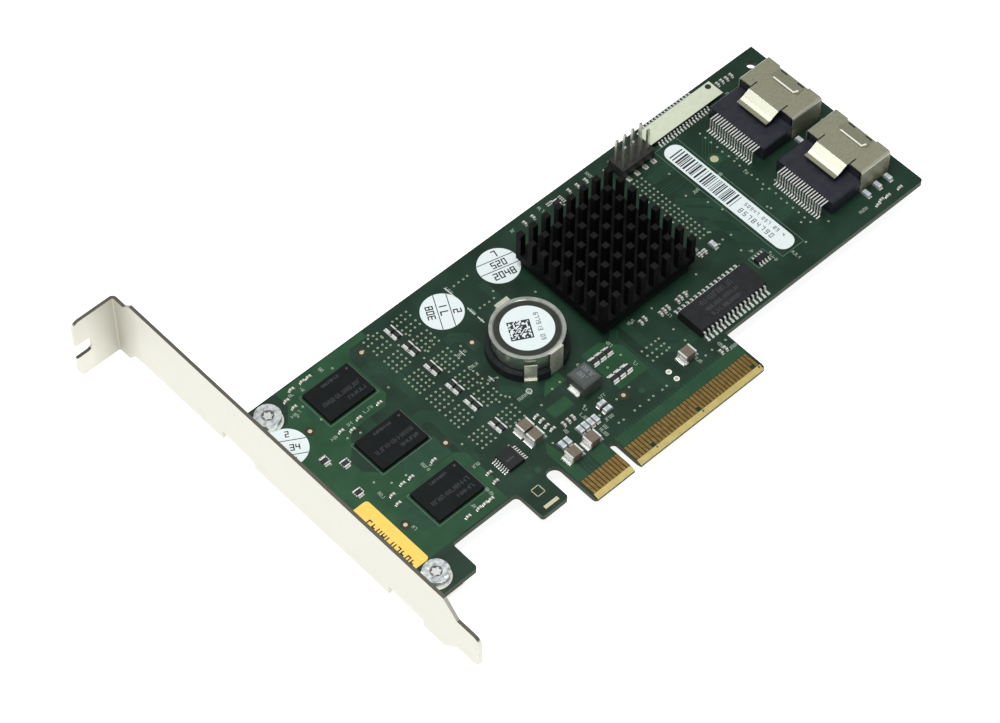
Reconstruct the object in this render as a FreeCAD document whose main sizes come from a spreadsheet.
"""A raid controller card: a low-profile x8 expansion card on a full-height bracket.

The card lies on its solder side. The frame's origin is the middle of the key notch on the tip edge
of the edge connector, at the component side: +X runs towards the two disk ports, +Y towards the top
edge of the board, +Z out of the component side. All lengths are millimetres, all angles degrees.
"""
import FreeCAD, Part
import os
import re
import Sketcher

doc = FreeCAD.newDocument("raid_controller_card")
sheet = doc.addObject("Spreadsheet::Sheet", "sizes")
nodes = []

# ---------------------------------------------------------------- the driving sizes

SIZES = {
    # circuit board
    "board_thickness": 1.57,
    "board_length": 161.88,
    "board_top": 68.90,
    "key_from_left": 57.15,
    "corner_bottom": 4.69,
    "notch_from_left": 13.97,
    "notch_width": 19.01,
    "notch_top": 13.00,
    "notch_radius": 1.20,
    "tab_bottom": 4.62,
    "edge_before_key": 12.60,
    "edge_behind_key": 39.60,
    "relief_width": 3.86,
    "relief_top": 13.00,
    "step_height": 12.80,
    "key_width": 1.90,
    "key_top": 8.65,
    "bevel_length": 1.30,
    "bevel_depth": 0.45,
    "edge_chamfer": 0.50,
    "corner_radius": 0.80,
    "corner_hole_radius": 1.22,
    "corner_hole_from_right": 4.10,
    "corner_hole_from_top": 3.99,
    "test_hole_radius": 0.50,
    "test_hole_x": 22.80,
    "test_hole_y": 11.20,
    "test_hole_pitch": 2.50,
    "screw_from_left": 5.95,
    "screw_from_top": 4.70,
    "screw_low_y": 9.10,
    "screw_radius": 1.50,
    "screw_clearance": 0.15,
    "overcut": 1.00,

    # edge contacts
    "contact_pitch": 1.00,
    "contact_width": 0.70,
    "contact_thickness": 0.04,
    "contact_from_key": 1.50,
    "contact_start": 1.40,
    "contact_end": 5.70,
    "contacts_before_key": 11,
    "contacts_behind_key": 38,
    "late_contact_start": 2.60,

    # mounting bracket
    "bracket_gap": 1.90,
    "bracket_sheet": 0.86,
    "bracket_width": 18.42,
    "bracket_drop": 3.92,
    "shoulder_drop": 3.00,
    "taper_run": 4.11,
    "tongue_length": 6.90,
    "tongue_radius": 2.00,
    "jog_y": 100.10,
    "jog_run": 2.40,
    "jog_shift": 3.03,
    "bracket_top": 106.90,
    "screw_tab_width": 19.05,
    "screw_tab_reach": 11.43,
    "screw_tab_radius": 2.00,
    "fold_inner_radius": 0.40,
    "tab_slot_width": 4.42,
    "tab_slot_depth": 4.40,
    "tab_slot_z": 2.00,
    "tab_slot_radius": 1.40,
    "ear_reach": 5.20,
    "ear_width": 9.00,
    "ear_relief": 1.00,
    "ear_radius": 2.00,

    # bracket screws
    "screw_head_radius": 3.10,
    "screw_head_height": 2.10,
    "screw_head_round": 1.20,
    "screw_tip_length": 0.60,
    "recess_radius": 1.35,
    "recess_waist": 0.98,
    "recess_depth": 1.30,
    "recess_lobes": 6,

    # raid processor and heat sink
    "sink_x": 33.00,
    "sink_y": 44.80,
    "sink_length": 29.00,
    "sink_width": 28.40,
    "sink_height": 8.90,
    "sink_base": 2.00,
    "pin_side": 1.50,
    "pins_each_way": 8,
    "processor_side": 27.00,
    "processor_substrate": 1.20,
    "processor_lid": 0.90,
    "lid_margin": 1.50,
    "pad_thickness": 0.30,
    "pad_margin": 0.50,

    # memory chips
    "memory_from_left": 22.05,
    "memory_upper_from_top": 10.00,
    "memory_middle_from_top": 27.40,
    "memory_lower_from_top": 45.60,
    "memory_length": 13.20,
    "memory_width": 9.60,
    "memory_height": 1.10,

    # leaded chips
    "mould_taper": 5.00,
    "flash_x": 75.20,
    "flash_from_top": 4.00,
    "flash_length": 18.40,
    "flash_width": 5.20,
    "flash_standoff": 0.10,
    "flash_top": 1.20,
    "flash_leads_a_side": 17,
    "flash_pitch": 1.00,
    "flash_lead_width": 0.40,
    "flash_shoulder": 0.25,
    "flash_slope": 0.20,
    "flash_foot": 0.55,
    "flash_level": 0.55,
    "lead_sheet": 0.15,
    "cache_x": 45.15,
    "cache_y": 19.30,
    "cache_length": 20.95,
    "cache_width": 7.50,
    "cache_standoff": 0.20,
    "cache_top": 2.50,
    "cache_leads_a_side": 16,
    "cache_pitch": 1.27,
    "cache_lead_width": 0.42,
    "cache_shoulder": 0.40,
    "cache_slope": 0.25,
    "cache_foot": 0.85,
    "cache_level": 1.20,
    "cache_lead_sheet": 0.25,
    "logic_before_key": 19.30,
    "logic_y": 20.30,
    "logic_length": 5.00,
    "logic_width": 4.40,
    "logic_standoff": 0.10,
    "logic_top": 1.10,
    "logic_leads_a_side": 7,
    "logic_pitch": 0.65,
    "logic_lead_width": 0.25,
    "logic_shoulder": 0.20,
    "logic_slope": 0.15,
    "logic_foot": 0.60,
    "logic_level": 0.45,
    "monitor_x": 60.60,
    "monitor_y": 22.10,
    "monitor_length": 3.60,
    "monitor_width": 1.50,
    "monitor_standoff": 0.10,
    "monitor_top": 0.90,
    "monitor_leads_a_side": 4,
    "monitor_pitch": 0.90,
    "monitor_lead_width": 0.35,
    "monitor_shoulder": 0.15,
    "monitor_slope": 0.10,
    "monitor_foot": 0.40,
    "monitor_level": 0.35,

    # power inductor
    "inductor_x": 6.60,
    "inductor_y": 24.05,
    "inductor_length": 5.40,
    "inductor_width": 5.60,
    "inductor_height": 3.90,
    "inductor_edge": 0.40,
    "terminal_sheet": 0.20,
    "terminal_width": 3.20,
    "terminal_height": 1.10,
    "terminal_foot": 0.90,

    # activation key, its holder and clips
    "key_x": 4.25,
    "key_y": 40.00,
    "can_radius": 8.13,
    "can_height": 5.89,
    "can_flange_radius": 8.68,
    "can_flange_sheet": 0.51,
    "can_rim": 0.80,
    "can_dish": 0.12,
    "can_fit": 0.15,
    "holder_floor": 1.61,
    "holder_radius": 9.60,
    "holder_height": 2.40,
    "clip_width": 3.80,
    "clip_sheet": 0.30,
    "clip_gap": 0.12,
    "clip_notch_fit": 0.20,
    "clip_hook": 0.45,
    "clip_lip": 0.35,
    "clip_shift": 0.55,
    "leg_angle": 52.00,
    "leg_width": 2.90,
    "leg_distance": 8.65,
    "leg_height": 5.20,
    "leg_foot": 0.70,
    "label_sheet": 0.08,
    "key_label_radius": 6.20,

    # disk ports
    "port_upper_y": 51.10,
    "port_lower_y": 29.10,
    "port_setback": 4.03,
    "port_width": 17.80,
    "shell_length": 9.60,
    "shell_height": 7.10,
    "shell_sheet": 0.30,
    "shell_fold": 0.45,
    "shell_recess": 0.40,
    "shell_recess_width": 9.40,
    "latch_slot_length": 2.10,
    "latch_slot_width": 0.50,
    "latch_slot_pitch": 5.40,
    "latch_slot_inset": 0.65,
    "ramp_rise": 0.35,
    "ramp_length": 3.00,
    "ramp_inset": 0.70,
    "ramp_width": 8.40,
    "flap_width": 9.60,
    "flap_slot_width": 0.35,
    "flap_slot_length": 2.10,
    "flap_level": 0.80,
    "flap_slope_run": 2.00,
    "flap_slope_drop": 1.10,
    "flap_crease_run": 0.90,
    "flap_crease_drop": 0.40,
    "flap_lip": 1.10,
    "housing_length": 9.50,
    "housing_height": 4.10,
    "housing_edge": 0.30,
    "nose_length": 4.00,
    "nose_fit": 0.05,
    "floor_thickness": 1.00,
    "card_slot_width": 13.00,
    "card_slot_height": 1.60,
    "card_slot_level": 2.80,
    "card_slot_depth": 3.00,
    "port_contacts": 18,
    "port_contact_pitch": 0.80,
    "port_contact_width": 0.32,
    "port_contact_sheet": 0.20,
    "port_contact_level": 3.70,
    "port_contact_reach": 2.50,
    "port_contact_foot": 1.20,
    "port_contact_shift": 0.70,

    # pin header
    "header_x": 58.66,
    "header_from_top": 6.30,
    "header_pitch": 2.54,
    "header_columns": 4,
    "header_width": 5.08,
    "header_lift": 0.60,
    "header_base_height": 2.50,
    "header_pin": 0.64,
    "header_pin_top": 10.00,
    "header_pin_tip": 0.35,
    "header_foot_reach": 2.60,
    "header_foot_sheet": 0.40,

    # small parts
    "cap_length": 1.10,
    "cap_width": 0.60,
    "cap_height": 0.55,
    "cap_end": 0.28,
    "mid_cap_length": 1.95,
    "mid_cap_width": 1.10,
    "mid_cap_height": 0.90,
    "mid_cap_end": 0.45,
    "big_cap_length": 3.30,
    "big_cap_width": 2.70,
    "big_cap_height": 2.10,
    "big_cap_end": 0.40,
    "array_length": 1.80,
    "array_width": 1.50,
    "array_height": 0.50,
    "array_end": 0.30,

    # labels
    "round_label_radius": 5.10,
    "round_label_right_x": 15.30,
    "round_label_right_from_top": 7.60,
    "round_label_centre_before_key": 2.90,
    "round_label_centre_from_top": 8.50,
    "round_label_left_from_edge": 4.15,
    "round_label_left_from_top": 12.90,
    "yellow_label_width": 7.60,
    "yellow_label_margin": 0.35,
    "yellow_label_low": 13.40,
    "yellow_label_length": 20.30,
    "yellow_label_radius": 0.90,
    "barcode_label_x": 68.10,
    "barcode_label_y": 40.00,
    "barcode_label_width": 5.20,
    "barcode_label_length": 40.10,
    "barcode_label_radius": 2.40,
    "chip_label_length": 23.80,
    "chip_label_width": 4.80,
    "chip_label_shift": 1.60,
}
for row_number, (alias, value) in enumerate(SIZES.items(), start=1):
    sheet.set(f"A{row_number}", alias)
    sheet.set(f"B{row_number}", str(value))
    sheet.setAlias(f"B{row_number}", alias)
doc.recompute()
ruler = doc.addObject("App::FeaturePython", "ruler")

# ---------------------------------------------------------------- formulas


def formula(text):
    """The same formula with each size's name pointing at its cell of the sheet."""
    def cell(word):
        name = word.group()
        return f"sizes.{name}" if name in SIZES else name
    return re.sub(r"[a-z_][a-z_0-9]*", cell, str(text))


def number(text):
    """What a formula gives with the sizes as they are."""
    result = ruler.evalExpression(formula(text))
    return float(getattr(result, "Value", result))


def node(made, name):
    """Count an object as one node of the card and give it its name."""
    made.Label = name
    nodes.append(made)
    return made


# ---------------------------------------------------------------- sketches and solid features


def body(name):
    """A new part-design body, which becomes a node of that name."""
    return node(doc.addObject("PartDesign::Body", name), name)


def origin_part(owner, role):
    """One of a body's own planes or axes."""
    return [part for part in owner.Origin.OriginFeatures if part.Role == role][0]


def sketch_at(owner, plane, level):
    """An empty sketch on the body's XY, XZ or YZ plane, moved to a level along the third axis."""
    sketch = owner.newObject("Sketcher::SketchObject", f"{owner.Name}_sketch")
    sketch.AttachmentSupport = [(origin_part(owner, f"{plane}_Plane"), "")]
    sketch.MapMode = "FlatFace"
    along = f"-({level})" if plane == "XZ" else level
    sketch.setExpression("AttachmentOffset.Base.z", formula(along))
    return sketch


def tie(sketch, direction, element, point, text):
    """Hold one coordinate of a sketch's point at the value of a formula."""
    rule = Sketcher.Constraint(direction, -1, 1, element, point, number(text))
    index = sketch.addConstraint(rule)
    sketch.setExpression(f"Constraints[{index}]", formula(text))


def outline(owner, plane, level, corners):
    """A closed outline with straight sides; every corner is tied to two formulas."""
    sketch = sketch_at(owner, plane, level)
    points = [FreeCAD.Vector(number(across), number(up), 0) for across, up in corners]
    for start, end in zip(points, points[1:] + points[:1]):
        sketch.addGeometry(Part.LineSegment(start, end), False)
    for index in range(len(corners)):
        after = (index + 1) % len(corners)
        sketch.addConstraint(Sketcher.Constraint("Coincident", index, 2, after, 1))
    for index, (across, up) in enumerate(corners):
        tie(sketch, "DistanceX", index, 1, across)
        tie(sketch, "DistanceY", index, 1, up)
    return sketch


def circles(owner, plane, level, rounds):
    """Circles in one sketch, each given by its centre and its radius."""
    sketch = sketch_at(owner, plane, level)
    for index, (across, up, radius) in enumerate(rounds):
        centre = FreeCAD.Vector(number(across), number(up), 0)
        sketch.addGeometry(Part.Circle(centre, FreeCAD.Vector(0, 0, 1), number(radius)), False)
        tie(sketch, "DistanceX", index, 3, across)
        tie(sketch, "DistanceY", index, 3, up)
        rule = sketch.addConstraint(Sketcher.Constraint("Radius", index, number(radius)))
        sketch.setExpression(f"Constraints[{rule}]", formula(radius))
    return sketch


def add(owner, plane, low, high, draw, shape):
    """Pad a drawn shape from one level up to another along the axis of its plane."""
    pad = owner.newObject("PartDesign::Pad", f"{owner.Name}_pad")
    pad.Profile = draw(owner, plane, low, shape)
    pad.setExpression("Length", formula(f"({high}) - ({low})"))
    pad.Reversed = plane == "XZ"
    doc.recompute()
    return pad


def take(owner, plane, low, high, draw, shape):
    """Pocket a drawn shape from one level up to another, and make sure that it cuts."""
    before = owner.Shape.Volume
    pocket = owner.newObject("PartDesign::Pocket", f"{owner.Name}_pocket")
    pocket.Profile = draw(owner, plane, low, shape)
    pocket.setExpression("Length", formula(f"({high}) - ({low})"))
    pocket.Reversed = plane != "XZ"
    doc.recompute()
    if not owner.Shape.Volume < before:
        raise ValueError(f"{pocket.Label} cuts nothing")
    return pocket


def row(owner, features, axis, pitch, count):
    """Repeat features along one axis of the body, count of them in all."""
    pattern = owner.newObject("PartDesign::LinearPattern", f"{owner.Name}_row")
    pattern.Originals = features
    pattern.Direction = (origin_part(owner, f"{axis}_Axis"), [""])
    pattern.setExpression("Length", formula(f"({pitch}) * ({count} - 1)"))
    pattern.setExpression("Occurrences", formula(count))
    owner.Tip = pattern
    doc.recompute()
    return pattern


def ease(owner, kind, amount, places):
    """Fillet or chamfer the edges whose middles lie at the given places."""
    edges = owner.Tip.Shape.Edges
    picked = []
    for place in places:
        spot = FreeCAD.Vector(*[number(text) for text in place])
        gaps = [edge.CenterOfMass.distanceToPoint(spot) for edge in edges]
        picked.append(f"Edge{gaps.index(min(gaps)) + 1}")
    base = owner.Tip
    feature = owner.newObject(f"PartDesign::{kind}", f"{owner.Name}_{kind.lower()}")
    feature.Base = (base, picked)
    feature.setExpression("Radius" if kind == "Fillet" else "Size", formula(amount))
    doc.recompute()
    return feature


def turn(owner, across, deep, profile):
    """Revolve a half section, drawn as radius and height, about an upright axis at a place."""
    sketch = outline(owner, "XZ", deep, profile)
    sketch.setExpression("AttachmentOffset.Base.x", formula(across))
    revolved = owner.newObject("PartDesign::Revolution", f"{owner.Name}_turned")
    revolved.Profile = sketch
    revolved.ReferenceAxis = (sketch, ["V_Axis"])
    doc.recompute()
    return revolved


def rectangle(left, right, low, high):
    """The four corners of a rectangle."""
    return [(left, low), (right, low), (right, high), (left, high)]


# ---------------------------------------------------------------- simple solids and groups


def block(name, across, deep, up):
    """A plain block between a low and a high formula along X, Y and Z."""
    box = doc.addObject("Part::Box", name)
    spans = (("Length", "x", across), ("Width", "y", deep), ("Height", "z", up))
    for length, axis, (low, high) in spans:
        box.setExpression(length, formula(f"({high}) - ({low})"))
        box.setExpression(f"Placement.Base.{axis}", formula(low))
    return box


def disc(name, across, deep, radius, low, high):
    """An upright cylinder between two heights."""
    cylinder = doc.addObject("Part::Cylinder", name)
    cylinder.setExpression("Radius", formula(radius))
    cylinder.setExpression("Height", formula(f"({high}) - ({low})"))
    for axis, text in (("x", across), ("y", deep), ("z", low)):
        cylinder.setExpression(f"Placement.Base.{axis}", formula(text))
    return cylinder


def group(name, members):
    """Like pieces that stay separate solids but share one node."""
    compound = doc.addObject("Part::Compound", name)
    compound.Links = members
    return node(compound, name)


def around(centre, width):
    """The low and high formulas of a width laid evenly about a centre."""
    return (f"{centre} - ({width}) / 2", f"{centre} + ({width}) / 2")


def gull_wing(edge, side, shoulder, slope, foot, level, sheet_thickness):
    """Section of a lead that leaves a body's edge at a level and ends in a foot on the board."""
    def out(run):
        return f"{edge} {side} ({run})"
    return [
        (out("0"), f"{level} + {sheet_thickness}"),
        (out(f"{shoulder} + {sheet_thickness} / 2"), f"{level} + {sheet_thickness}"),
        (out(f"{shoulder} + {slope} + {sheet_thickness} / 2"), sheet_thickness),
        (out(f"{shoulder} + {slope} + {foot}"), sheet_thickness),
        (out(f"{shoulder} + {slope} + {foot}"), "0"),
        (out(f"{shoulder} + {slope} - {sheet_thickness} / 2"), "0"),
        (out(f"{shoulder} - {sheet_thickness} / 2"), level),
        (out("0"), level),
    ]


# ---------------------------------------------------------------- circuit board
# Low-profile height, x8 edge connector. Its lower edge steps: a bracket corner, a wide notch, a
# short retaining tab, a round-topped relief slot, the two banks of the edge connector and the step.


board_under = "(-board_thickness)"
board_left = "(-key_from_left)"
board_right = "(board_length - key_from_left)"
notch_left = "(notch_from_left - key_from_left)"
notch_right = "(notch_from_left - key_from_left + notch_width)"
edge_left = "(-edge_before_key)"
relief_left = "(-edge_before_key - relief_width)"
relief_middle = "(-edge_before_key - relief_width / 2)"
relief_round = "(relief_top - relief_width / 2)"
key_round = "(key_top - key_width / 2)"
screw_x = "(screw_from_left - key_from_left)"
screw_high_y = "(board_top - screw_from_top)"
corner_hole_x = "(board_length - key_from_left - corner_hole_from_right)"
corner_hole_y = "(board_top - corner_hole_from_top)"

board = body("circuit_board")
add(board, "XY", board_under, "0", outline, [
    (board_left, "corner_bottom"),
    (notch_left, "corner_bottom"),
    (notch_left, "notch_top"),
    (notch_right, "notch_top"),
    (notch_right, "tab_bottom"),
    (relief_left, "tab_bottom"),
    (relief_left, relief_round),
    (edge_left, relief_round),
    (edge_left, "0"),
    ("-key_width / 2", "0"),
    ("-key_width / 2", key_round),
    ("key_width / 2", key_round),
    ("key_width / 2", "0"),
    ("edge_behind_key", "0"),
    ("edge_behind_key", "step_height"),
    (board_right, "step_height"),
    (board_right, "board_top"),
    (board_left, "board_top"),
])
mid_board = "-board_thickness / 2"
ease(board, "Fillet", "notch_radius", [
    (notch_left, "notch_top", mid_board),
    (notch_right, "notch_top", mid_board),
])
ease(board, "Fillet", "corner_radius", [
    (notch_left, "corner_bottom", mid_board),
    (notch_right, "tab_bottom", mid_board),
    (relief_left, "tab_bottom", mid_board),
    (board_right, "step_height", mid_board),
])
ease(board, "Chamfer", "edge_chamfer", [
    (edge_left, "0", mid_board),
    ("edge_behind_key", "0", mid_board),
])
take(board, "XY", board_under, "0", circles, [
    (relief_middle, relief_round, "relief_width / 2"),
    ("0", key_round, "key_width / 2"),
    (corner_hole_x, corner_hole_y, "corner_hole_radius"),
    ("test_hole_x", "test_hole_y", "test_hole_radius"),
    ("test_hole_x", "test_hole_y + test_hole_pitch", "test_hole_radius"),
    (screw_x, "screw_low_y", "screw_radius + screw_clearance"),
    (screw_x, screw_high_y, "screw_radius + screw_clearance"),
])
# The connector's tip is bevelled from both faces so that it enters its slot easily.
tip_left = "-edge_before_key - overcut"
tip_right = "edge_behind_key + overcut"
take(board, "YZ", tip_left, tip_right, outline, [
    ("bevel_length", "0"),
    ("0", "-bevel_depth"),
    ("-overcut", "-bevel_depth"),
    ("-overcut", "overcut"),
    ("bevel_length", "overcut"),
])
take(board, "YZ", tip_left, tip_right, outline, [
    ("bevel_length", board_under),
    ("0", f"{board_under} + bevel_depth"),
    ("-overcut", f"{board_under} + bevel_depth"),
    ("-overcut", f"{board_under} - overcut"),
    ("bevel_length", f"{board_under} - overcut"),
])

# ---------------------------------------------------------------- edge contacts
# Forty-nine gold contacts a side, eleven before the key and thirty-eight behind it. The contacts
# that sense the card's presence start later than the others.


before_key_first = "(-contact_from_key - contact_pitch * (contacts_before_key - 1))"


def edge_contacts(name, low, high, late):
    """One side's contacts; late lists the counting numbers of the late ones."""
    contacts = body(name)
    banks = ((before_key_first, "contacts_before_key"), ("contact_from_key", "contacts_behind_key"))
    for first, count in banks:
        left, right = around(first, "contact_width")
        finger = add(contacts, "XY", low, high, outline,
                     rectangle(left, right, "contact_start", "contact_end"))
        row(contacts, [finger], "X", "contact_pitch", count)
    for first, place in late:
        left, right = around(f"{first} + contact_pitch * {place}", "contact_width + contact_thickness")
        take(contacts, "XY", low, high, outline,
             rectangle(left, right, "contact_start", "late_contact_start"))


edge_contacts("edge_contacts_component_side", "0", "contact_thickness",
              [("contact_from_key", 5), ("contact_from_key", 19), ("contact_from_key", 36)])
edge_contacts("edge_contacts_solder_side", f"{board_under} - contact_thickness", board_under,
              [(before_key_first, 0)])

# ---------------------------------------------------------------- mounting bracket
# One folded sheet: a long blade with a tapered tongue below, a jog and a folded-over screw tab
# above, and two ears folded under the board between relief cuts.


blade_inner = "(-key_from_left - bracket_gap)"
blade_outer = "(-key_from_left - bracket_gap - bracket_sheet)"
blade_middle = "(-key_from_left - bracket_gap - bracket_sheet / 2)"
bracket_low = "(-bracket_drop)"
bracket_high = "(bracket_width - bracket_drop)"
tab_low = "(-bracket_drop - jog_shift)"
tab_high = "(screw_tab_width - bracket_drop - jog_shift)"
tab_end = "(-key_from_left - bracket_gap - bracket_sheet - screw_tab_reach)"
tab_under = "(bracket_top - bracket_sheet)"
tab_middle = "(bracket_top - bracket_sheet / 2)"
shoulder_y = "(-shoulder_drop)"
taper_y = "(-shoulder_drop - taper_run)"
tip_y = "(-shoulder_drop - taper_run - tongue_length)"
fold_outer_radius = "fold_inner_radius + bracket_sheet"
ear_top = board_under
ear_under = "(-board_thickness - bracket_sheet)"
ear_end = f"({screw_x} + ear_reach)"

bracket = body("mounting_bracket")
add(bracket, "YZ", blade_outer, blade_inner, outline, [
    (tip_y, "taper_run - bracket_drop"),
    (taper_y, "taper_run - bracket_drop"),
    (shoulder_y, bracket_low),
    ("jog_y", bracket_low),
    ("jog_y + jog_run", tab_low),
    ("bracket_top", tab_low),
    ("bracket_top", tab_high),
    ("jog_y + jog_run", tab_high),
    ("jog_y", bracket_high),
    (shoulder_y, bracket_high),
    (taper_y, f"{bracket_high} - taper_run"),
    (tip_y, f"{bracket_high} - taper_run"),
])
ease(bracket, "Fillet", "tongue_radius", [
    (blade_middle, tip_y, "taper_run - bracket_drop"),
    (blade_middle, tip_y, f"{bracket_high} - taper_run"),
])
add(bracket, "XZ", tab_under, "bracket_top", outline,
    rectangle(tab_end, blade_inner, tab_low, tab_high))
fold_z = f"({tab_low} + {tab_high}) / 2"
ease(bracket, "Fillet", "fold_inner_radius", [(blade_outer, tab_under, fold_z)])
ease(bracket, "Fillet", fold_outer_radius, [(blade_inner, "bracket_top", fold_z)])
ease(bracket, "Fillet", "screw_tab_radius", [
    (tab_end, tab_middle, tab_low),
    (tab_end, tab_middle, tab_high),
])
slot_low, slot_high = around("tab_slot_z", "tab_slot_width")
take(bracket, "XZ", tab_under, "bracket_top", outline,
     rectangle(f"{tab_end} - overcut", f"{tab_end} + tab_slot_depth", slot_low, slot_high))
ease(bracket, "Fillet", "tab_slot_radius", [
    (f"{tab_end} + tab_slot_depth", tab_middle, slot_low),
    (f"{tab_end} + tab_slot_depth", tab_middle, slot_high),
])
for ear_y in ("screw_low_y", screw_high_y):
    ear_from, ear_to = around(ear_y, "ear_width")
    # The blade ends at the ear's fold and is cut free beside it.
    take(bracket, "YZ", blade_outer, blade_inner, outline,
         rectangle(ear_from, ear_to, bracket_low, ear_under))
    for cut_from, cut_to in ((f"{ear_from} - ear_relief", ear_from), (ear_to, f"{ear_to} + ear_relief")):
        take(bracket, "YZ", blade_outer, blade_inner, outline,
             rectangle(cut_from, cut_to, bracket_low, f"{ear_top} + fold_inner_radius"))
    add(bracket, "XY", ear_under, ear_top, outline,
        rectangle(blade_outer, ear_end, ear_from, ear_to))
    ease(bracket, "Fillet", "fold_inner_radius", [(blade_inner, ear_y, ear_top)])
    ease(bracket, "Fillet", fold_outer_radius, [(blade_outer, ear_y, ear_under)])
    ear_middle = f"({ear_top} + {ear_under}) / 2"
    ease(bracket, "Fillet", "ear_radius", [
        (ear_end, ear_from, ear_middle),
        (ear_end, ear_to, ear_middle),
    ])
    take(bracket, "XY", ear_under, ear_top, circles, [(screw_x, ear_y, "screw_radius")])

# ---------------------------------------------------------------- bracket screws
# Pan heads with a six-lobe recess hold the board to the bracket's ears.


screw_tip = "(-board_thickness - bracket_sheet - screw_tip_length)"
screws = body("bracket_screws")
screw_parts = [
    add(screws, "XY", screw_tip, "0", circles, [(screw_x, "screw_low_y", "screw_radius")]),
    add(screws, "XY", "0", "screw_head_height", circles,
        [(screw_x, "screw_low_y", "screw_head_radius")]),
]
recess = []
half_turn = 180
for corner in range(2 * SIZES["recess_lobes"]):
    reach = "recess_radius" if corner % 2 else "recess_waist"
    angle = f"{corner} * {half_turn} / recess_lobes"
    recess.append((f"{screw_x} + {reach} * cos({angle})", f"screw_low_y + {reach} * sin({angle})"))
screw_parts.append(take(screws, "XY", "screw_head_height - recess_depth", "screw_head_height",
                        outline, recess))
row(screws, screw_parts, "Y", f"{screw_high_y} - screw_low_y", "2")

# ---------------------------------------------------------------- raid processor and heat sink
# The processor is hidden under a pin-fin heat sink that a thermal pad bonds to its lid.


lid_top = "(processor_substrate + processor_lid)"
sink_low = f"({lid_top} + pad_thickness)"
sink_top = f"({sink_low} + sink_height)"


def square(margin):
    """The processor's outline drawn in by a margin."""
    return rectangle(*around("sink_x", f"processor_side - 2 * ({margin})"),
                     *around("sink_y", f"processor_side - 2 * ({margin})"))


processor = body("raid_processor")
add(processor, "XY", "0", "processor_substrate", outline, square("0"))
add(processor, "XY", "processor_substrate", lid_top, outline, square("lid_margin"))
thermal_pad = body("thermal_pad")
add(thermal_pad, "XY", lid_top, sink_low, outline, square("lid_margin + pad_margin"))

sink = body("heat_sink")
sink_left, sink_right = around("sink_x", "sink_length")
sink_front, sink_back = around("sink_y", "sink_width")
add(sink, "XY", sink_low, sink_top, outline, rectangle(sink_left, sink_right, sink_front, sink_back))
pitch_x = "((sink_length - pin_side) / (pins_each_way - 1))"
pitch_y = "((sink_width - pin_side) / (pins_each_way - 1))"
groove = take(sink, "XY", f"{sink_low} + sink_base", sink_top, outline,
              rectangle(f"{sink_left} + pin_side", f"{sink_left} + {pitch_x}", sink_front, sink_back))
row(sink, [groove], "X", pitch_x, "pins_each_way - 1")
groove = take(sink, "XY", f"{sink_low} + sink_base", sink_top, outline,
              rectangle(sink_left, sink_right, f"{sink_front} + pin_side", f"{sink_front} + {pitch_y}"))
row(sink, [groove], "Y", pitch_y, "pins_each_way - 1")

# ---------------------------------------------------------------- memory chips
# Three moulded ball-grid packages, seated on the board.


memory_x = "(memory_from_left - key_from_left)"
for place in ("upper", "middle", "lower"):
    memory = body(f"memory_chip_{place}")
    left, right = around(memory_x, "memory_length")
    front, back = around(f"(board_top - memory_{place}_from_top)", "memory_width")
    add(memory, "XY", "0", "memory_height", outline, rectangle(left, right, front, back))

# ---------------------------------------------------------------- leaded chips
# Each has a moulded body clear of the board and rows of gull-wing leads that stand on it.


def narrowed(width, kind):
    """The width of a tapered body at the level where its leads leave it."""
    return f"{width} - 2 * ({kind}_level - {kind}_standoff) * tan(mould_taper)"


def leaded_chip(name, x, y, length, width, standoff, top, taper):
    """A moulded body, narrowed towards its top by a mould taper."""
    moulding = body(f"{name}_body")
    left, right = around(x, length)
    front, back = around(y, width)
    pad = add(moulding, "XY", standoff, top, outline, rectangle(left, right, front, back))
    pad.setExpression("TaperAngle", formula(f"-({taper})"))
    doc.recompute()


flash_y = "(board_top - flash_from_top)"
leaded_chip("flash_memory", "flash_x", flash_y, "flash_length", "flash_width",
            "flash_standoff", "flash_top", "mould_taper")
flash_leads = body("flash_memory_leads")
first_left, first_right = around("flash_x - flash_pitch * (flash_leads_a_side - 1) / 2",
                                 "flash_lead_width")
for side, edge in zip("-+", around(flash_y, narrowed("flash_width", "flash"))):
    section = gull_wing(edge, side, "flash_shoulder", "flash_slope", "flash_foot",
                        "flash_level", "lead_sheet")
    lead = add(flash_leads, "YZ", first_left, first_right, outline, section)
    row(flash_leads, [lead], "X", "flash_pitch", "flash_leads_a_side")


leaded_chip("static_memory", "cache_x", "cache_y", "cache_length", "cache_width",
            "cache_standoff", "cache_top", "mould_taper")
cache_leads = body("static_memory_leads")
first_left, first_right = around("cache_x - cache_pitch * (cache_leads_a_side - 1) / 2",
                                 "cache_lead_width")
for side, edge in zip("-+", around("cache_y", narrowed("cache_width", "cache"))):
    section = gull_wing(edge, side, "cache_shoulder", "cache_slope", "cache_foot",
                        "cache_level", "cache_lead_sheet")
    lead = add(cache_leads, "YZ", first_left, first_right, outline, section)
    row(cache_leads, [lead], "X", "cache_pitch", "cache_leads_a_side")


logic_x = "(-logic_before_key)"
leaded_chip("logic_chip", logic_x, "logic_y", "logic_width", "logic_length",
            "logic_standoff", "logic_top", "mould_taper")
logic_leads = body("logic_chip_leads")
first_low, first_high = around("logic_y - logic_pitch * (logic_leads_a_side - 1) / 2",
                               "logic_lead_width")
for side, edge in zip("-+", around(logic_x, narrowed("logic_width", "logic"))):
    section = gull_wing(edge, side, "logic_shoulder", "logic_slope", "logic_foot",
                        "logic_level", "lead_sheet")
    lead = add(logic_leads, "XZ", first_low, first_high, outline, section)
    row(logic_leads, [lead], "Y", "logic_pitch", "logic_leads_a_side")


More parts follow.
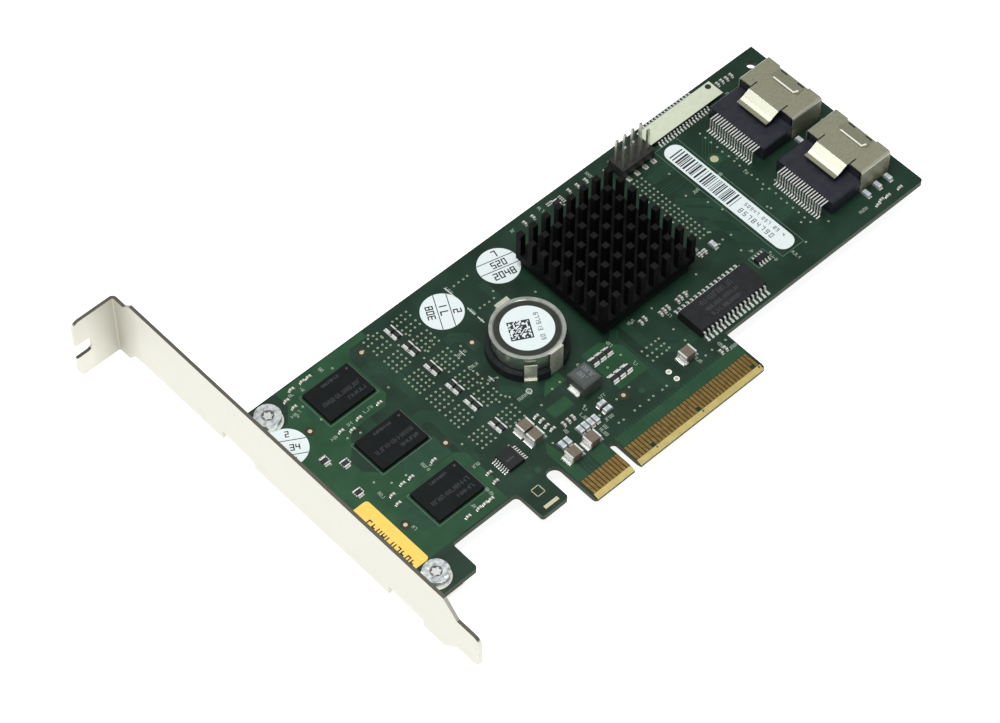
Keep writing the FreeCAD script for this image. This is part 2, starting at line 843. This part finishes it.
leaded_chip("monitor_chip", "monitor_x", "monitor_y", "monitor_length", "monitor_width",
            "monitor_standoff", "monitor_top", "mould_taper")
monitor_leads = body("monitor_chip_leads")
first_left, first_right = around("monitor_x - monitor_pitch * (monitor_leads_a_side - 1) / 2",
                                 "monitor_lead_width")
for side, edge in zip("-+", around("monitor_y", narrowed("monitor_width", "monitor"))):
    section = gull_wing(edge, side, "monitor_shoulder", "monitor_slope", "monitor_foot",
                        "monitor_level", "lead_sheet")
    lead = add(monitor_leads, "YZ", first_left, first_right, outline, section)
    row(monitor_leads, [lead], "X", "monitor_pitch", "monitor_leads_a_side")

# ---------------------------------------------------------------- power inductor
# A moulded block with bevelled upper edges and a folded terminal on each end.

inductor_left, inductor_right = around("inductor_x", "inductor_length")
inductor_front, inductor_back = around("inductor_y", "inductor_width")
inductor = body("power_inductor_core")
add(inductor, "XY", "0", "inductor_height", outline,
    rectangle(inductor_left, inductor_right, inductor_front, inductor_back))
ease(inductor, "Chamfer", "inductor_edge", [
    (inductor_left, "inductor_y", "inductor_height"),
    (inductor_right, "inductor_y", "inductor_height"),
    ("inductor_x", inductor_front, "inductor_height"),
    ("inductor_x", inductor_back, "inductor_height"),
])
terminals = body("power_inductor_terminals")
for side, end in (("-", inductor_left), ("+", inductor_right)):
    add(terminals, "XZ", *around("inductor_y", "terminal_width"), outline, [
        (end, "0"),
        (end, "terminal_height"),
        (f"{end} {side} terminal_sheet", "terminal_height"),
        (f"{end} {side} terminal_sheet", "terminal_sheet"),
        (f"{end} {side} terminal_foot", "terminal_sheet"),
        (f"{end} {side} terminal_foot", "0"),
    ])

# ---------------------------------------------------------------- activation key
# A steel button can, flange upwards, lies in a round holder between two spring clips. Its face is
# dished inside a raised rim. A contact leg stands on the board in a notch of the holder's lip.

holder_inner = "(can_radius + can_fit)"
can_top = "(holder_floor + can_height)"
can_face = "(holder_floor + can_height - can_dish)"
key = body("activation_key")
turn(key, "key_x", "key_y", [
    ("0", "holder_floor"),
    ("can_radius", "holder_floor"),
    ("can_radius", f"{can_top} - can_flange_sheet"),
    ("can_flange_radius", f"{can_top} - can_flange_sheet"),
    ("can_flange_radius", can_top),
    ("can_flange_radius - can_rim", can_top),
    ("can_flange_radius - can_rim - can_dish", can_face),
    ("0", can_face),
])
holder = body("key_holder")
turn(holder, "key_x", "key_y", [
    ("0", "0"),
    ("holder_radius", "0"),
    ("holder_radius", "holder_height"),
    (holder_inner, "holder_height"),
    (holder_inner, "holder_floor"),
    ("0", "holder_floor"),
])
clip_left, clip_right = around("(key_x + clip_shift)", "clip_width")
clip_in = "(can_flange_radius + clip_gap)"
clip_out = "(can_flange_radius + clip_gap + clip_sheet)"
holder_far = "(holder_radius + overcut)"
for side_from, side_to in ((f"key_y - {holder_far}", f"key_y - {clip_in} + clip_notch_fit"),
                           (f"key_y + {clip_in} - clip_notch_fit", f"key_y + {holder_far}")):
    take(holder, "XY", "0", "holder_height", outline,
         rectangle(f"{clip_left} - clip_notch_fit", f"{clip_right} + clip_notch_fit",
                   side_from, side_to))


def beside_leg(forward, aside):
    """A place measured from the key's axis towards the contact leg, and sideways from there."""
    return (f"key_x - ({forward}) * cos(leg_angle) + ({aside}) * sin(leg_angle)",
            f"key_y - ({forward}) * sin(leg_angle) - ({aside}) * cos(leg_angle)")


notch_start = "leg_distance - clip_notch_fit"
notch_side = "(leg_width / 2 + clip_notch_fit)"
take(holder, "XY", "0", "holder_height", outline, [
    beside_leg(notch_start, f"-{notch_side}"),
    beside_leg(holder_far, f"-{notch_side}"),
    beside_leg(holder_far, notch_side),
    beside_leg(notch_start, notch_side),
])
clips = body("key_holder_clips")
hook_top = f"({can_top} + clip_sheet)"
for side, inward in ("-+", "+-"):
    add(clips, "YZ", clip_left, clip_right, outline, [
        (f"key_y {side} {clip_in}", "0"),
        (f"key_y {side} {clip_in}", can_top),
        (f"key_y {side} {clip_in} {inward} clip_hook", can_top),
        (f"key_y {side} {clip_in} {inward} clip_hook", hook_top),
        (f"key_y {side} {clip_out}", hook_top),
        (f"key_y {side} {clip_out}", "0"),
    ])
add(clips, "YZ", clip_left, clip_right, outline,
    rectangle(f"key_y + {clip_out}", f"key_y + {clip_out} + clip_lip", can_top, hook_top))
# The leg is drawn to the left of its own origin and then turned into its direction.
leg = body("key_contact_leg")
add(leg, "XZ", "-leg_width / 2", "leg_width / 2", outline, [
    ("-leg_distance", "0"),
    ("-leg_distance", "leg_height"),
    ("-leg_distance - clip_sheet", "leg_height"),
    ("-leg_distance - clip_sheet", "clip_sheet"),
    ("-leg_distance - leg_foot", "clip_sheet"),
    ("-leg_distance - leg_foot", "0"),
])
leg.setExpression("Placement.Base.x", formula("key_x"))
leg.setExpression("Placement.Base.y", formula("key_y"))
leg.setExpression("Placement.Rotation.Angle", formula("leg_angle"))
node(disc("key_label", "key_x", "key_y", "key_label_radius", can_face, f"{can_face} + label_sheet"),
     "key_label")

# ---------------------------------------------------------------- disk ports
# Two right-angle internal ports. A folded shell covers the front, with a sprung latch flap at its
# rear between two slots, a latch ramp and two latch windows on top. The moulding carries a nose
# with the card slot inside the shell and a low rear block that the contacts leave.

shell_front = "(board_length - key_from_left - port_setback)"
shell_rear = "(board_length - key_from_left - port_setback - shell_length)"
shell_under = "(shell_height - shell_sheet)"
shell_middle = f"({shell_front} + {shell_rear}) / 2"
nose_front = f"({shell_rear} + nose_length)"
housing_rear = f"({shell_rear} - housing_length)"
flap_end = f"{shell_rear} - flap_level - flap_slope_run - flap_crease_run - flap_lip"
flap_path = [
    (shell_rear, "shell_height"),
    (f"{shell_rear} - flap_level", "shell_height"),
    (f"{shell_rear} - flap_level - flap_slope_run", "shell_height - flap_slope_drop"),
    (f"{shell_rear} - flap_level - flap_slope_run - flap_crease_run",
     "shell_height - flap_slope_drop - flap_crease_drop"),
    (flap_end, "shell_height - flap_slope_drop - flap_crease_drop"),
]
flap_section = flap_path + [(x, f"{z} - shell_sheet") for x, z in reversed(flap_path)]
contact_rear = f"({housing_rear} - port_contact_reach)"
contact_section = [
    (housing_rear, "port_contact_level"),
    (housing_rear, "port_contact_level + port_contact_sheet"),
    (contact_rear, "port_contact_level + port_contact_sheet"),
    (contact_rear, "port_contact_sheet"),
    (f"{contact_rear} - port_contact_foot + port_contact_sheet", "port_contact_sheet"),
    (f"{contact_rear} - port_contact_foot + port_contact_sheet", "0"),
    (f"{contact_rear} + port_contact_sheet", "0"),
    (f"{contact_rear} + port_contact_sheet", "port_contact_level"),
]

for place in ("upper", "lower"):
    port_y = f"port_{place}_y"
    side_low, side_high = around(port_y, "port_width")
    inner_low, inner_high = around(port_y, "port_width - 2 * shell_sheet")

    shell = body(f"port_{place}_shell")
    add(shell, "YZ", shell_rear, shell_front, outline, [
        (side_low, "0"),
        (side_low, "shell_height"),
        (side_high, "shell_height"),
        (side_high, "0"),
        (inner_high, "0"),
        (inner_high, shell_under),
        (inner_low, shell_under),
        (inner_low, "0"),
    ])
    ease(shell, "Fillet", "shell_fold + shell_sheet", [
        (shell_middle, side_low, "shell_height"),
        (shell_middle, side_high, "shell_height"),
    ])
    ease(shell, "Fillet", "shell_fold", [
        (shell_middle, inner_low, shell_under),
        (shell_middle, inner_high, shell_under),
    ])
    recess_low, recess_high = around(port_y, "shell_recess_width")
    take(shell, "XY", shell_under, "shell_height", outline,
         rectangle(f"{shell_front} - shell_recess", shell_front, recess_low, recess_high))
    flap_low, flap_high = around(port_y, "flap_width")
    for slit_low, slit_high in ((f"{flap_low} - flap_slot_width", flap_low),
                                (flap_high, f"{flap_high} + flap_slot_width")):
        take(shell, "XY", shell_under, "shell_height", outline,
             rectangle(shell_rear, f"{shell_rear} + flap_slot_length", slit_low, slit_high))
    add(shell, "XZ", flap_low, flap_high, outline, flap_section)
    ramp_end = f"{shell_front} - ramp_inset"
    ramp_low, ramp_high = around(port_y, "ramp_width")
    add(shell, "XZ", ramp_low, ramp_high, outline, [
        (f"{ramp_end} - ramp_length", "shell_height"),
        (f"{ramp_end} - ramp_length", "shell_height + ramp_rise"),
        (ramp_end, "shell_height"),
    ])
    window_right = f"{shell_front} - latch_slot_inset"
    for window_y in (f"{port_y} - latch_slot_pitch / 2", f"{port_y} + latch_slot_pitch / 2"):
        take(shell, "XY", shell_under, "shell_height + ramp_rise", outline,
             rectangle(f"{window_right} - latch_slot_width", window_right,
                       *around(window_y, "latch_slot_length")))

    housing = body(f"port_{place}_housing")
    add(housing, "XY", "0", "housing_height", outline,
        rectangle(housing_rear, shell_rear, side_low, side_high))
    ease(housing, "Chamfer", "housing_edge", [
        (f"({housing_rear} + {shell_rear}) / 2", side_low, "housing_height"),
        (f"({housing_rear} + {shell_rear}) / 2", side_high, "housing_height"),
    ])
    nose_low = f"{inner_low} + nose_fit + shell_fold"
    nose_high = f"{inner_high} - nose_fit - shell_fold"
    add(housing, "XY", "0", f"{shell_under} - nose_fit", outline,
        rectangle(shell_rear, nose_front, nose_low, nose_high))
    add(housing, "XY", "0", "floor_thickness", outline,
        rectangle(shell_rear, shell_front, f"{inner_low} + nose_fit", f"{inner_high} - nose_fit"))
    slot_low, slot_high = around(port_y, "card_slot_width")
    take(housing, "XY", "card_slot_level", "card_slot_level + card_slot_height", outline,
         rectangle(f"{nose_front} - card_slot_depth", nose_front, slot_low, slot_high))

    contacts = body(f"port_{place}_contacts")
    first = f"{port_y} - port_contact_shift - port_contact_pitch * (port_contacts - 1) / 2"
    first_low, first_high = around(first, "port_contact_width")
    lead = add(contacts, "XZ", first_low, first_high, outline, contact_section)
    row(contacts, [lead], "Y", "port_contact_pitch", "port_contacts")

# ---------------------------------------------------------------- pin header
# Eight square pins in two rows through one insulator, with feet bent outwards along the board.

header_y = "(board_top - header_from_top)"
header_low = "header_lift"
header_high = "header_lift + header_base_height"
header_first = "(header_x - header_pitch * (header_columns - 1) / 2)"
base = body("header_base")
add(base, "XY", header_low, header_high, outline,
    rectangle(*around("header_x", "header_pitch * header_columns"),
              *around(header_y, "header_width")))
pins = body("header_pins")
for side in "-+":
    row_y = f"({header_y} {side} header_pitch / 2)"
    hole = take(base, "XY", header_low, header_high, outline,
                rectangle(*around(header_first, "header_pin"),
                          *around(row_y, "header_pin")))
    row(base, [hole], "X", "header_pitch", "header_columns")
    inward = "+" if side == "-" else "-"
    pin = add(pins, "YZ", *around(header_first, "header_pin"), outline, [
        (f"{row_y} {inward} header_pin / 2", "0"),
        (f"{row_y} {inward} header_pin / 2", "header_pin_top - header_pin_tip"),
        (f"{row_y} {inward} header_pin / 4", "header_pin_top"),
        (f"{row_y} {side} header_pin / 4", "header_pin_top"),
        (f"{row_y} {side} header_pin / 2", "header_pin_top - header_pin_tip"),
        (f"{row_y} {side} header_pin / 2", "header_foot_sheet"),
        (f"{row_y} {side} header_foot_reach", "header_foot_sheet"),
        (f"{row_y} {side} header_foot_reach", "0"),
    ])
    row(pins, [pin], "X", "header_pitch", "header_columns")

# ---------------------------------------------------------------- small parts
# Two-ended parts soldered on the board. They stand in clusters: each has its own anchor, and its
# places count from there. A part lies along X, or along Y where it is listed as upright.

memory_upper = (memory_x, "(board_top - memory_upper_from_top)")
memory_middle = (memory_x, "(board_top - memory_middle_from_top)")
memory_lower = (memory_x, "(board_top - memory_lower_from_top)")
cache_chip = ("cache_x", "cache_y")
power_supply = ("0", "step_height")
under_ports = (shell_rear, "step_height")
top_left = (notch_right, "board_top")
top_middle = ("sink_x", "board_top")
top_right = (shell_rear, "board_top")


def two_ended(name, kind, lying, upright):
    """Bodies in one node and their metal ends in another, for one kind of part."""
    middles = []
    ends = []
    clusters = [(cluster, False) for cluster in lying] + [(cluster, True) for cluster in upright]
    for (anchor, places), turned in clusters:
        for right, up in places:
            x, y = f"({anchor[0]} + {right})", f"({anchor[1]} + {up})"
            reach = around(y if turned else x, f"{kind}_length")
            span = around(x if turned else y, f"{kind}_width")
            inner = (f"{reach[0]} + {kind}_end", f"{reach[1]} - {kind}_end")
            for piece, stretch in ((middles, inner), (ends, (reach[0], inner[0])),
                                   (ends, (inner[1], reach[1]))):
                across, deep = (span, stretch) if turned else (stretch, span)
                piece.append(block(f"{name}_piece", across, deep, ("0", f"{kind}_height")))
    group(f"{name}_bodies", middles)
    group(f"{name}_ends", ends)


two_ended("large_capacitor", "big_cap", [
    (power_supply, [(-11.4, 11.2), (-11.4, 7.9), (-8.4, -1.2), (-2.8, -1.1)]),
    (cache_chip, [(-16.4, -5.3)]),
], [])
two_ended("medium_capacitor", "mid_cap", [
    (power_supply, [(5.6, 4.6), (5.6, 2.7)]),
], [
    (power_supply, [(-8.4, 2.4), (-6.8, 2.4), (-2.7, 2.7), (-1.2, 2.7), (0.3, 2.6), (1.8, 2.6)]),
    (cache_chip, [(10.1, 12.9)]),
    (under_ports, [(0.7, 5.9), (4.4, 5.9), (7.9, 5.9), (0.9, 27.6)]),
])
two_ended("small_capacitor", "cap", [
    (memory_upper, [(-6.9, 8.1), (-3.7, 8.1), (-1.9, 8.1), (-9.7, 6.5), (-9.6, 4.0)]),
    (memory_middle, [(-6.2, 9.5), (-1.0, 9.5), (5.0, 9.5), (-4.1, 8.1)]),
    (memory_lower, [(-5.6, 8.2), (-3.1, 8.2), (3.5, 8.2), (-9.2, 7.5), (-9.7, 5.0),
                    (-0.9, -7.8), (2.3, -7.8), (4.1, -7.8), (5.8, -7.8), (10.1, -2.5), (9.7, -5.1)]),
    (power_supply, [(-7.2, 12.0), (-7.0, 10.4), (-7.2, 8.6), (-6.8, 7.1)]),
    (under_ports, [(0.6, 1.9), (2.1, 2.4), (4.1, 2.2), (7.9, 2.0)]),
], [
    (cache_chip, [(-17.4, 8.4), (-16.0, 8.6), (-12.4, 7.1), (-11.2, 7.3), (-10.0, 7.3),
                  (-7.1, 7.1), (-5.9, 7.3), (-4.5, 7.3), (-10.0, -9.7), (-8.6, -9.7),
                  (6.0, 13.0), (7.4, 13.0)]),
    (power_supply, [(-4.2, 6.4), (-2.8, 6.4), (-1.4, 6.4)]),
    (top_middle, [(-5.0, -2.7), (-2.4, -2.7), (9.0, -2.7), (11.5, -2.9), (14.0, -3.1)]),
    (top_right, [(-0.9, -3.1), (0.5, -3.1), (1.9, -3.3), (3.4, -3.3)]),
])
two_ended("resistor_array", "array", [
    (top_left, [(9.3, -4.4), (9.3, -6.6), (9.3, -10.4), (9.3, -12.7), (9.3, -17.7), (9.3, -20.0),
                (9.3, -24.9), (9.3, -27.1), (9.3, -30.9), (9.3, -33.1), (9.3, -39.0), (9.3, -41.1)]),
], [
    (power_supply, [(12.5, 14.1), (14.6, 14.1), (16.7, 14.1), (12.5, 7.8), (14.6, 7.8), (16.7, 7.8)]),
    (memory_middle, [(-14.1, 6.0), (-11.3, 2.5), (-14.2, -5.2)]),
    (top_middle, [(4.5, -3.3)]),
])

# ---------------------------------------------------------------- labels
# Thin paper on the board and over the flash chip. The one on the key is beside the key.

node(disc("round_label_right", "round_label_right_x", "board_top - round_label_right_from_top",
          "round_label_radius", "0", "label_sheet"), "round_label_right")
node(disc("round_label_centre", "-round_label_centre_before_key",
          "board_top - round_label_centre_from_top", "round_label_radius", "0", "label_sheet"),
     "round_label_centre")
# The left one reaches the board's edge and is trimmed there.
whole_label = disc("whole_label", "round_label_left_from_edge - key_from_left",
                   "board_top - round_label_left_from_top", "round_label_radius",
                   "0", "label_sheet")
on_board = block("on_board", (board_left, board_right), ("0", "board_top"), ("0", "label_sheet"))
trimmed = doc.addObject("Part::Common", "round_label_left")
trimmed.Base = whole_label
trimmed.Tool = on_board
node(trimmed, "round_label_left")


def paper(name, left, right, low, high, level, radius):
    """A rectangular label with rounded corners."""
    label = body(name)
    add(label, "XY", level, f"{level} + label_sheet", outline, rectangle(left, right, low, high))
    middle = f"{level} + label_sheet / 2"
    ease(label, "Fillet", radius, [(x, y, middle) for x in (left, right) for y in (low, high)])


yellow_left = "(yellow_label_margin - key_from_left)"
paper("yellow_label", yellow_left, f"{yellow_left} + yellow_label_width", "yellow_label_low",
      "yellow_label_low + yellow_label_length", "0", "yellow_label_radius")
paper("barcode_label", *around("barcode_label_x", "barcode_label_width"),
      *around("barcode_label_y", "barcode_label_length"), "0", "barcode_label_radius")
chip_label = body("flash_memory_label")
add(chip_label, "XY", "flash_top", "flash_top + label_sheet", outline,
    rectangle(*around("(flash_x + chip_label_shift)", "chip_label_length"),
              *around(flash_y, "chip_label_width")))

# ---------------------------------------------------------------- checks and export

doc.recompute()
failed = [thing.Label for thing in doc.Objects if {"Invalid", "Error"} & set(thing.State)]
for made in nodes:
    if made.Shape.isNull() or not made.Shape.isValid():
        failed.append(made.Label)
if failed:
    raise ValueError("not sound: " + ", ".join(failed))

os.makedirs("parts", exist_ok=True)
for made in nodes:
    made.Shape.exportStep(f"parts/{made.Label}.step")
print(f"{len(nodes)} nodes,", sum(len(made.Shape.Solids) for made in nodes), "solids")
